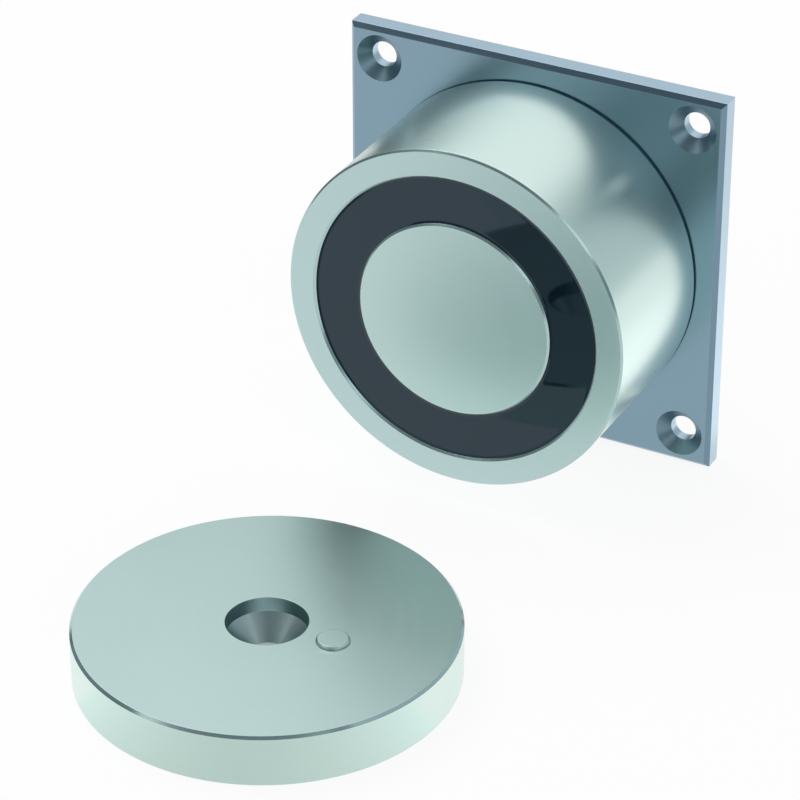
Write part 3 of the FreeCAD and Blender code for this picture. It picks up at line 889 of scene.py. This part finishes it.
def makeScrew(s):
    rear, tip, headRadius = onWallSize("fixing_screw")
    r = s["round"]
    corners = [
        (0, rear, 0), (headRadius, rear, r), (s["shank"], rear + headRadius - s["shank"], s["neckRound"]),
        (s["shank"], tip - s["tipBevel"], r), (s["shank"] - s["tipBevel"], tip, r), (0, tip, 0)]
    mesh = turned("fixingScrew", corners, False, onWall, metals["screwZinc"], count=s["segments"])
    socket = prismCutter(s["socketSides"], s["socket"] / math.sqrt(3), rear - beyond,
                         rear + s["socketDepth"], onWall)
    return place("fixingScrew", drill(mesh, [socket]), "holder", "screw_steel", "fixing_screw")


def makeGrommet(s):
    rear, lipEnd, flangeRadius = onWallSize("cable_grommet")
    seat = rear + s["flange"]
    corners = [
        (s["cable"], rear, s["round"]), (flangeRadius, rear, s["round"]),
        (flangeRadius, seat, s["seatRound"]), (s["neck"], seat, 0),
        (s["neck"], plateThickness, 0), (s["lip"], plateThickness, s["seatRound"]),
        (s["neck"], lipEnd, s["tipRound"]), (s["cable"], lipEnd, s["tipRound"])]
    mesh = turned("cableGrommet", corners, True, onWallCentre("cable_grommet"), plastics["grommetRubber"],
                  count=s["segments"])
    return place("cableGrommet", mesh, "holder", "grommet_rubber", "cable_grommet")


makeScrew(screwSizes)
makeGrommet(grommetSizes)
print("screw and grommet made")


# four clamp screws of the terminal strip, one shape set on four points
clampScrew = {"head": 1.6 * mm, "headHeight": 0.95 * mm, "shank": 1.2 * mm, "slotWidth": 0.6 * mm,
              "slotDepth": 0.475 * mm, "round": 0.1 * mm, "segments": 48}
slotReach = 2.2          # a slot's cutter, in the radius of what it crosses


def makeRepeatTree():
    tree, given, made = newTree("repeatedPiece", {
        "Points": "Geometry", "Piece": "Object", "Material": "Material"})
    shape = addNode(tree, "GeometryNodeObjectInfo", {"Object": given["Piece"]})
    spots = addNode(tree, "GeometryNodeMeshToPoints", {"Mesh": given["Points"]})
    copies = addNode(tree, "GeometryNodeInstanceOnPoints", {
        "Points": spots.outputs[0], "Instance": shape.outputs["Geometry"]})
    tree.links.new(realPiece(tree, copies.outputs[0], given["Material"]), made.inputs[0])
    return tree


def makeClampScrews(s):
    rear, tip = onWallSize("terminal_screws")[:2]
    low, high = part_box("terminal_screws")
    seat = rear + s["headHeight"]
    corners = [(0, rear, 0), (s["head"], rear, s["round"]), (s["head"], seat, s["round"]),
               (s["shank"], seat, 0), (s["shank"], tip, s["round"]), (0, tip, 0)]
    mesh = turned("clampScrew", corners, False, onWall, metals["screwZinc"], count=s["segments"])
    slot = slotCutter(slotReach * s["head"], s["slotWidth"], rear - beyond, rear + s["slotDepth"], onWall)
    shape = addObject("clampScrewShape", drill(mesh, [slot]))
    spots = bpy.data.meshes.new("clampScrewPlaces")
    spots.from_pydata([(x, 0, z) for x in (low.x + s["head"], high.x - s["head"])
                       for z in (low.z + s["head"], high.z - s["head"])], [], [])
    mesh = evaluated("terminalScrews", spots, makeRepeatTree(), {
        "Piece": shape, "Material": metals["screwZinc"]})
    bpy.data.objects.remove(shape)
    finishMesh(mesh)
    return place("terminalScrews", mesh, "holder", "screw_steel", "terminal_screws")


makeClampScrews(clampScrew)
print("terminal screws made")


# armature, and the sprung pin in it
armatureSizes = {"chamfer": 0.5 * mm, "backChamfer": 0.15 * mm, "edgeRound": 0.04 * mm,
                 "boltHole": 3.5 * mm, "counterbore": 7.65 * mm, "boreDepth": 3.0 * mm,
                 "boreRound": 0.05 * mm, "boreReach": 1.002, "boreLean": 0.9,
                 "pinClearance": 0.05 * mm, "plugClearance": 0.02 * mm, "pinSegments": 96}
pinSizes = {"radius": 3.1 * mm, "stem": 1.8 * mm, "flangeHeight": 1.2 * mm, "shoulder": 3.0 * mm,
            "chamfer": 0.3 * mm, "round": 0.1 * mm, "stemRound": 0.15 * mm, "segments": 128}
plugSizes = {"slotWidth": 1.0 * mm, "slotDepth": 0.8 * mm, "chamfer": 0.2 * mm, "round": 0.06 * mm,
             "topRound": 0.1 * mm, "segments": 128}
armatureRadius = (armatureHigh.x - armatureLow.x) / 2
armatureThickness = armatureHigh.z - armatureLow.z
onFloor = Matrix.Translation((armatureAxis[0], armatureAxis[1], armatureLow.z))
pinLow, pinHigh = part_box("release_pin")
plugLow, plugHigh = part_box("release_plug")
plugRadius = (plugHigh.x - plugLow.x) / 2
atPin = Matrix.Translation(((pinLow.x + pinHigh.x) / 2, (pinLow.y + pinHigh.y) / 2, armatureLow.z))
shoulder = armatureThickness - pinSizes["shoulder"]


def makeArmature(s):
    t = armatureThickness
    c = s["chamfer"]
    b = s["backChamfer"]
    r = s["edgeRound"]
    coneTop = t - s["boreDepth"]
    coneBottom = coneTop - (s["counterbore"] - s["boltHole"])
    corners = [
        (s["boltHole"], 0, rounding), (armatureRadius - b, 0, r), (armatureRadius, b, r),
        (armatureRadius, t - c, r), (armatureRadius - c, t, r), (s["counterbore"], t, s["boreRound"]),
        (s["counterbore"], coneTop, 0), (s["boltHole"], coneBottom, 0)]
    mesh = turned("armaturePlate", corners, True, onFloor, metals["armatureSide"], metals["armatureFace"])
    mesh = drill(mesh, [
        rodCutter(pinSizes["radius"] + s["pinClearance"], -beyond, t + beyond, atPin, s["pinSegments"]),
        rodCutter(plugRadius + s["plugClearance"], -beyond, shoulder, atPin, s["pinSegments"])])
    finishBevels(mesh, (0, 0, 1), metals["armatureBevel"])
    mesh.materials.append(metals["boreFace"])
    for f in mesh.polygons:
        reach = (Vector(f.center) - Vector(armatureAxis)).to_2d().length
        if reach < s["counterbore"] * s["boreReach"] and f.normal.z < s["boreLean"]:
            f.material_index = len(mesh.materials) - 1      # counterbore, cone and hole, painted darker as shade in the recess
    return place("armaturePlate", mesh, "holder", "armature_steel", "armature_plate")


def makePin(s):
    foot = pinLow.z - armatureLow.z
    top = pinHigh.z - armatureLow.z
    flange = (pinHigh.x - pinLow.x) / 2
    under = shoulder - s["flangeHeight"]
    r = s["round"]
    corners = [
        (0, foot, 0), (s["stem"], foot, s["stemRound"]), (s["stem"], under, 0), (flange, under, r),
        (flange, shoulder, r), (s["radius"], shoulder, 0), (s["radius"], top - s["chamfer"], r),
        (s["radius"] - s["chamfer"], top, r), (0, top, 0)]
    mesh = turned("releasePin", corners, False, atPin, metals["armatureFace"], count=s["segments"])
    return place("releasePin", mesh, "release_pin", "armature_steel", "release_pin")


def makePlug(s):
    bottom = plugLow.z - armatureLow.z
    top = plugHigh.z - armatureLow.z
    c = s["chamfer"]
    corners = [(0, bottom, 0), (plugRadius - c, bottom, s["round"]), (plugRadius, bottom + c, s["round"]),
               (plugRadius, top, s["topRound"]), (0, top, 0)]
    mesh = turned("releasePlug", corners, False, atPin, metals["screwZinc"], count=s["segments"])
    slot = slotCutter(slotReach * plugRadius, s["slotWidth"], bottom - beyond, bottom + s["slotDepth"], atPin)
    return place("releasePlug", drill(mesh, [slot]), "holder", "screw_steel", "release_plug")


makeArmature(armatureSizes)
makePin(pinSizes)
makePlug(plugSizes)
print("armature, pin and plug made")


# release spring: a helix from the plug up to the pin's flange
springSizes = {"wire": 0.3 * mm, "coil": 3.6 * mm, "pitch": 1.0 * mm, "travel": 0.6 * mm,
               "perTurn": 64, "round": 16}


def makeSpringTree():
    tree, given, made = newTree("coilSpring", {
        "Geometry": "Geometry", "Turns": "Float", "Coil Radius": "Float", "Rise": "Float",
        "Wire Radius": "Float", "Points A Turn": "Int", "Wire Points": "Int", "Material": "Material"})
    spiral = addNode(tree, "GeometryNodeCurveSpiral", {
        "Rotations": given["Turns"], "Start Radius": given["Coil Radius"], "End Radius": given["Coil Radius"],
        "Height": given["Rise"], "Resolution": given["Points A Turn"]})
    circle = addNode(tree, "GeometryNodeCurvePrimitiveCircle", {
        "Radius": given["Wire Radius"], "Resolution": given["Wire Points"]})
    sweep = addNode(tree, "GeometryNodeCurveToMesh", {
        "Curve": spiral.outputs["Curve"], "Profile Curve": circle.outputs["Curve"], "Fill Caps": True})
    tree.links.new(realPiece(tree, sweep.outputs["Mesh"], given["Material"]), made.inputs[0])
    return tree


def makeSpring(s):
    bottom = plugHigh.z
    top = armatureLow.z + shoulder - pinSizes["flangeHeight"]
    rise = top - bottom - 2 * s["wire"]
    mesh = evaluated("releaseSpring", bpy.data.meshes.new("springStart"), makeSpringTree(), {
        "Turns": rise / s["pitch"], "Coil Radius": s["coil"], "Rise": rise, "Wire Radius": s["wire"],
        "Points A Turn": s["perTurn"], "Wire Points": s["round"], "Material": metals["springWire"]})
    mesh.transform(Matrix.Translation((atPin.translation.x, atPin.translation.y, bottom + s["wire"])))
    finishMesh(mesh, narrow=0)
    piece = place("releaseSpring", mesh, "holder", "spring_steel", "release_spring")
    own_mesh(piece)
    return piece


makeSpring(springSizes)
print("release spring made")
